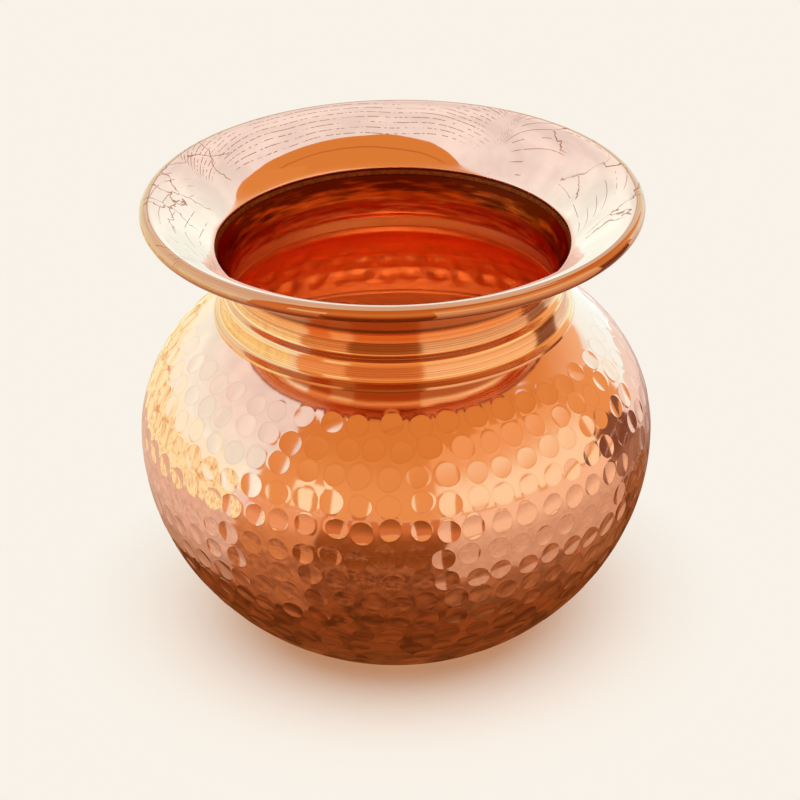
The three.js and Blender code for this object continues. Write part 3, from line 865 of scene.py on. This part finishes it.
# Throat braze: the fillet along the flange's cut edge, left as it ran, which shows as the dark
# line inside the throat. Its crust of flux and scale is dull, lumpy and nearly black-brown.
rough_braze, tree, shader, place = new_finish("braze_as_run", "#6b3a1f", roughness=0.55)
shader.inputs["Specular Tint"].default_value = linear("#c87850")
crust = add_node(tree, noise_node, {"Vector": place, "Scale": 900.0, "Detail": 5.0})
scale = add_node(
    tree, mix_node, {"Factor": crust, 6: linear("#3a1a0c"), 7: linear("#a8592c")}, data_type="RGBA"
)
tree.links.new(scale.outputs[2], shader.inputs["Base Color"])
lumps = add_node(tree, bump_node, {"Height": crust, "Strength": 0.8, "Distance": 0.0003})
tree.links.new(lumps.outputs[0], shader.inputs["Normal"])
fillet = [(44.45, 106.5), (44.1, 106.5), (43.75, 105.95), (43.5, 105.5), (43.85, 105.45), (44.35, 105.95)]
throat_braze = turned("throat_braze_run", [(rounded(fillet, 2), FINE_SIDES, {})])
throat_braze.data.materials.append(rough_braze)
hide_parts("throat_braze")
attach(throat_braze, "root")

# Studio: a pale seamless floor, a pale world, and softboxes and flags round the pot that only its
# mirror surfaces see, as in a real shoot, where they stand out of the frame.
FLOOR_COLOUR = "#f9f2e8"
OVERHEAD_SHARE = 0.75
EYE_DISTANCE = 804.0
EYE_ELEVATION = math.radians(28.94)
EYE_ROLL = math.radians(-1.03)
FOCAL_PIXELS = 3142.6
FRAME_PIXELS = 800
AIM_PIXELS = (396.09, 424.3)
CARD_COLUMNS, CARD_ROWS, MAT_ROWS = 61, 25, 9


def glowing(name, near, far=None, start=0.0, stop=1.0, measure="height", grain=0.0, size=110.0):
    """A glowing stage material. Its colour runs from near to far between two heights in metres, two
    distances from the pot's axis or two levels of a fleck noise; grain makes it uneven, at a noise
    size."""
    made = bpy.data.materials.new(name)
    made.use_nodes = True
    tree = made.node_tree
    tree.nodes.clear()
    light = add_node(tree, "ShaderNodeEmission", {"Color": (*near, 1.0)})
    place = add_node(tree, "ShaderNodeTexCoord").outputs["Object"]
    if far is not None:
        if measure == "height":
            along = add_node(tree, split_node, {0: place}).outputs[2]
        elif measure == "reach":
            along = add_node(tree, vector_node, {0: place}, operation="LENGTH")
        else:
            along = add_node(tree, noise_node, {"Vector": place, "Scale": 130.0, "Detail": 3.0})
        ends = {"Value": along, "From Min": start, "From Max": stop}
        share = add_node(tree, range_node, ends, interpolation_type="SMOOTHSTEP")
        ends = {"Factor": share, 6: (*near, 1.0), 7: (*far, 1.0)}
        mix = add_node(tree, mix_node, ends, data_type="RGBA")
        tree.links.new(mix.outputs[2], light.inputs["Color"])
    if grain:
        uneven = add_node(tree, noise_node, {"Vector": place, "Scale": size, "Detail": 4.0})
        ends = {"Value": uneven, "From Min": 0.35, "From Max": 0.65, "To Min": 1 - grain, "To Max": 1 + grain}
        level = add_node(tree, range_node, ends)
        tree.links.new(level.outputs[0], light.inputs["Strength"])
    add_node(tree, "ShaderNodeOutputMaterial", {0: light})
    return made


def seen_directly(tree):
    """A number that is 1 for rays from the camera, mirrors and glass, and 0 for stray light."""
    ray = add_node(tree, "ShaderNodeLightPath").outputs
    shown = ray["Is Camera Ray"]
    for kind in ("Is Glossy Ray", "Is Transmission Ray"):
        shown = add_node(tree, math_node, {0: shown, 1: ray[kind]}, operation="MAXIMUM")
    return shown


def set_card(name, verts, rows, finish):
    """A stage card from a grid of points, rows to a column. Only mirror surfaces see it."""
    corners = [p for p in range(len(verts) - rows) if (p + 1) % rows]
    faces = [(p, p + 1, p + rows + 1, p + rows) for p in corners]
    mesh = bpy.data.meshes.new(name)
    mesh.from_pydata(verts, [], faces)
    mesh.materials.append(finish)
    made = bpy.data.objects.new(name, mesh)
    bpy.context.scene.collection.objects.link(made)
    made.visible_camera = False
    made.visible_diffuse = False
    made.visible_shadow = False
    made.visible_transmission = False


def card(name, low, high, finish, distance):
    """A card that stands round the pot between two edges, each a list of (azimuth, elevation) in
    degrees; azimuth runs from the front towards the right, elevation from the pot's middle."""
    verts = []
    for azimuth in np.linspace(low[0][0], low[-1][0], CARD_COLUMNS):
        turn = math.radians(azimuth)
        ends = [np.interp(azimuth, *zip(*edge)) for edge in (low, high)]
        for rise in np.radians(np.linspace(*ends, CARD_ROWS)):
            out, up = distance * math.cos(rise), distance * math.sin(rise)
            verts.append((out * math.sin(turn), -out * math.cos(turn), up + BELLY_HEIGHT * MM))
    set_card(name, verts, CARD_ROWS, finish)


def mat(name, azimuths, reaches, finish, height):
    """A card that lies round the pot between two azimuths and two distances from its axis."""
    turns = np.radians(np.linspace(*azimuths, CARD_COLUMNS))
    across = np.linspace(*reaches, MAT_ROWS)
    verts = [(r * math.sin(t), -r * math.cos(t), height) for t in turns for r in across]
    set_card(name, verts, MAT_ROWS, finish)


# the tones that the copper mirrors, from the pale sky inwards
sky_glow = glowing("sky_glow", (1.02, 1.28, 1.22), (0.93, 0.97, 0.95), 0.35, 1.2, "height", 0.09, 2.6)
card("sky", [(-180, -2), (180, -2)], [(-180, 90), (180, 90)], sky_glow, 1.60)
head = rounded(
    [
        (-62, 56), (-56, 62), (-47, 69), (-30, 74), (2, 78), (37, 76),
        (65, 71), (83, 63), (99, 52), (109, 43), (118, 36), (124, 27),
    ],
    2,
)
front_glow = glowing("front_glow", (0.86, 0.41, 0.13), (0.74, 0.29, 0.060), 0.5, 1.35)
card("front", [(-62, -4), (124, -4)], head, front_glow, 1.50)
arc = [(-56, 57), (-42, 63), (-26, 67.5), (1, 70.5), (28, 70.5), (52, 67), (72, 61.5), (87, 53.5)]
arc = rounded(arc + [(103, 42.5)], 2)
card("front_arc", arc - (0, 0.7), arc, glowing("front_arc_glow", (0.55, 0.19, 0.045)), 1.48)
bounce_glow = glowing("bounce_right_glow", (1.05, 0.92, 0.60), (0.92, 0.46, 0.17), 0.35, 0.95)
card("bounce_right", [(17, 0), (97, 0)], [(17, 40), (35, 50), (60, 50), (97, 36)], bounce_glow, 1.42)
gold_glow = glowing("gold_glow", (0.80, 0.38, 0.12), (1.08, 1.14, 0.70), 0.34, 0.50, "flecks")
card("gold", [(-160, -16), (-62, -16)], [(-160, 5.5), (-62, 5.5)], gold_glow, 0.200)
flank_glow = glowing("flank_glow", (0.95, 0.60, 0.32), (0.78, 0.32, 0.075), 0.17, 0.25)
flank_top = [(88, 66), (112, 58), (122, 52), (128, 45), (134, 30)]
card("flank_right", [(88, 52), (112, 27), (134, 24)], flank_top, flank_glow, 0.26)
# plain cards, each between two azimuths and two elevations
for name, (first, last), (foot, top), glow, distance in (
    ("bounce_middle", (-45, -28), (1, 20), (1.05, 1.0, 0.66), 1.43),
    ("bounce_left", (-150, -62), (5, 15), (1.05, 1.25, 1.05), 0.202),
    ("window", (122, 150), (3, 22), (1.0, 1.35, 1.4), 0.26),
    ("shade_right", (97, 120), (-2, 6), (0.25, 0.10, 0.05), 1.38),
):
    low, high = [(first, foot), (last, foot)], [(first, top), (last, top)]
    card(name, low, high, glowing(name + "_glow", glow), distance)
# the tones of the floor that the belly mirrors, each between two azimuths and two distances; most darken
# towards the pot as painted shadow, and the dark mat by the foot is the floor's painted shadow there
for name, azimuths, reaches, near, far, start, stop, grain in (
    ("foot_shadow", (-180, 180), (0.02, 0.15), (0.20, 0.055, 0.012), (0.36, 0.13, 0.045), 0.06, 0.15, 0.45),
    ("foot_left", (-62, -30), (0.07, 0.13), (0.34, 0.12, 0.04), (0.52, 0.21, 0.08), 0.07, 0.13, 0.3),
    ("foot_right", (17, 97), (0.07, 0.105), (0.28, 0.10, 0.03), (0.42, 0.17, 0.07), 0.07, 0.105, 0.3),
    ("rose_left", (-168, -62), (0.075, 0.194), (0.46, 0.24, 0.13), (0.80, 0.59, 0.45), 0.07, 0.125, 0.15),
    ("amber_front", (-62, -30), (0.13, 1.3), (0.62, 0.26, 0.09), (0.88, 0.44, 0.20), 0.14, 0.3, 0.15),
    ("brown_front", (-30, 17), (0.13, 1.3), (0.26, 0.075, 0.015), (0.66, 0.22, 0.06), 0.14, 0.4, 0.2),
    ("rose_right", (17, 97), (0.105, 1.3), (0.66, 0.40, 0.25), (1.0, 0.71, 0.46), 0.11, 0.32, 0.12),
    ("shade_mat", (97, 120), (0.15, 1.3), (0.40, 0.20, 0.12), (0.22, 0.08, 0.04), 0.15, 0.4, 0.2),
    ("rose_back", (120, 165), (0.08, 0.4), (0.30, 0.14, 0.08), (0.95, 0.85, 0.78), 0.09, 0.3, 0.15),
    ("pale_back", (150, 210), (0.4, 1.4), (1.0, 1.2, 1.2), (1.05, 1.45, 1.55), 0.4, 0.8, 0.0),
):
    height = 0.0010 if name == "foot_shadow" else 0.0014
    mat_glow = glowing(name + "_glow", near, far, start, stop, "reach", grain)
    mat(name, azimuths, reaches, mat_glow, height)

# a narrow spot from straight above, which passes the throat and lights only the inside
SNOOT_HEIGHT, SNOOT_SPREAD, THROAT_LEVEL = 1.2, 0.036, 0.11
snoot_data = bpy.data.lights.new("snoot", "SPOT")
snoot_data.energy = 88
snoot_data.spot_size = 2 * math.atan(SNOOT_SPREAD / (SNOOT_HEIGHT - THROAT_LEVEL))
snoot_data.spot_blend = 0.4
snoot_data.shadow_soft_size = 0.004
snoot = bpy.data.objects.new("snoot", snoot_data)
snoot.location = (0, 0, SNOOT_HEIGHT)
bpy.context.scene.collection.objects.link(snoot)

# a broad soft light from above and a little behind, which casts the shadow under the belly
OVERHEAD_TILT = math.radians(22)
overhead_data = bpy.data.lights.new("overhead", "SUN")
overhead_data.energy = OVERHEAD_SHARE * math.pi / math.cos(OVERHEAD_TILT)
overhead_data.angle = math.radians(60)
overhead = bpy.data.objects.new("overhead", overhead_data)
overhead.visible_glossy = False
overhead.rotation_euler = (OVERHEAD_TILT, 0.0, 0.0)
bpy.context.scene.collection.objects.link(overhead)

# the paper of the floor: it glows by itself, and near the pot part of its colour is lit instead, so
# that the pot's shadow falls on it there and nowhere else
mesh = bpy.data.meshes.new("floor")
mesh.from_pydata([(-9, -9, 0), (9, -9, 0), (9, 9, 0), (-9, 9, 0)], [], [(0, 1, 2, 3)])
floor = bpy.data.objects.new("floor", mesh)
bpy.context.scene.collection.objects.link(floor)
paper = bpy.data.materials.new("seamless_paper")
paper.use_nodes = True
tree = paper.node_tree
tree.nodes.clear()
goal = linear(FLOOR_COLOUR)[:3]
place = add_node(tree, "ShaderNodeTexCoord").outputs["Object"]
lit = (0.58, 0.71, 0.72)
reach = add_node(tree, vector_node, {0: place}, operation="LENGTH")
near = add_node(tree, range_node, {"Value": reach, "From Min": 0.09, "From Max": 0.034})
glow_colour = {"Factor": near, 6: (*goal, 1.0), 7: (*[g - c for g, c in zip(goal, lit)], 1.0)}
glow_colour = add_node(tree, mix_node, glow_colour, data_type="RGBA")
matt_colour = {"Factor": near, 6: (0.0, 0.0, 0.0, 1.0), 7: (*lit, 1.0)}
matt_colour = add_node(tree, mix_node, matt_colour, data_type="RGBA")
shown = seen_directly(tree)
glow = add_node(tree, "ShaderNodeEmission", {"Color": glow_colour, "Strength": shown})
matt = add_node(tree, "ShaderNodeBsdfDiffuse", {"Color": matt_colour})
both = add_node(tree, "ShaderNodeAddShader", {0: glow, 1: matt})
add_node(tree, "ShaderNodeOutputMaterial", {0: both})
mesh.materials.append(paper)

world = bpy.data.worlds.new("pale_world")
bpy.context.scene.world = world
world.use_nodes = True
tree = world.node_tree
tree.nodes.clear()
shown = seen_directly(tree)
stray = (*[1 - OVERHEAD_SHARE] * 3, 1.0)
tint = add_node(tree, mix_node, {"Factor": shown, 6: stray, 7: linear(FLOOR_COLOUR)}, data_type="RGBA")
sky_light = add_node(tree, "ShaderNodeBackground", {"Color": tint, "Strength": 1.0})
add_node(tree, "ShaderNodeOutputWorld", {0: sky_light})

# the camera stands where the picture was taken from, turned so that the pot's middle is on the aim
side = Vector((1, 0, 0))
forward = Vector((0, math.cos(EYE_ELEVATION), -math.sin(EYE_ELEVATION)))
upright = Vector((0, math.sin(EYE_ELEVATION), math.cos(EYE_ELEVATION)))
cosine_roll, sine_roll = math.cos(EYE_ROLL), math.sin(EYE_ROLL)
to_x, to_y = FRAME_PIXELS / 2 - AIM_PIXELS[0], FRAME_PIXELS / 2 - AIM_PIXELS[1]
flat_x = cosine_roll * to_x + sine_roll * to_y
flat_y = -sine_roll * to_x + cosine_roll * to_y
looking = (forward + side * (flat_x / FOCAL_PIXELS) - upright * (flat_y / FOCAL_PIXELS)).normalized()
top = side * -sine_roll + upright * cosine_roll
right = looking.cross(top).normalized()
top = right.cross(looking)
camera_data = bpy.data.cameras.new("camera")
camera_data.sensor_width = 36.0
camera_data.lens = FOCAL_PIXELS * camera_data.sensor_width / FRAME_PIXELS
camera_data.clip_start, camera_data.clip_end = 0.05, 50.0
camera = bpy.data.objects.new("camera", camera_data)
bpy.context.scene.collection.objects.link(camera)
eye = Vector((0, 0, BELLY_HEIGHT * MM)) - forward * EYE_DISTANCE * MM
camera.matrix_world = Matrix.Translation(eye) @ Matrix((right, top, -looking)).transposed().to_4x4()
bpy.context.scene.camera = camera
bpy.context.scene.view_settings.view_transform = "Standard"
